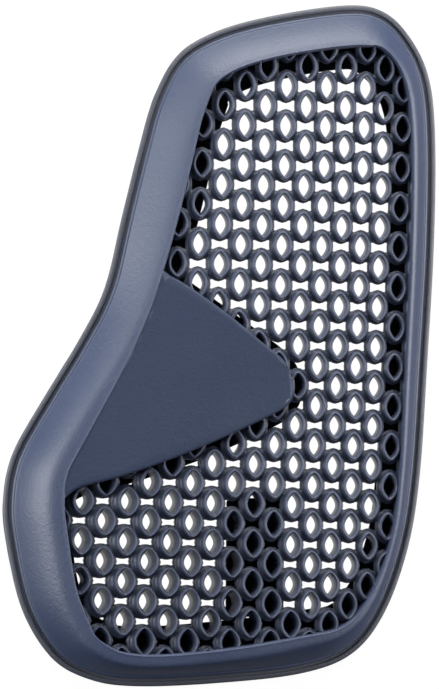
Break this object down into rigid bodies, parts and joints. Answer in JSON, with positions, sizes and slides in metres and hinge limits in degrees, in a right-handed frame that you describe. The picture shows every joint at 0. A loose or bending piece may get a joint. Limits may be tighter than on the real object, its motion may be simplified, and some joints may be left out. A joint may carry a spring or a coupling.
{
  "type": "chest guard panel",
  "caption": "Curved chest guard panel with a bevelled border, an open lattice of raised pointed tubes, a solid corner panel and a black rear backing with a tab.",
  "frame": {"origin": "centre of the bounding box, on the plane that the panel's edge rests on", "axes": "+X to the right of the pictured front, +Y to the collar end, +Z out of the front face"},
  "size_m": [0.153, 0.2392, 0.0206],
  "materials": {
    "moulding": "satin, fine grain",
    "backing": "matt"
  },
  "bodies": {
    "root": {"edge_flange": "moulding", "border_shell": "moulding", "corner_panel": "moulding", "lattice_core": "moulding", "back_ring": "backing", "back_tab": "backing"}
  },
  "joints": []
}
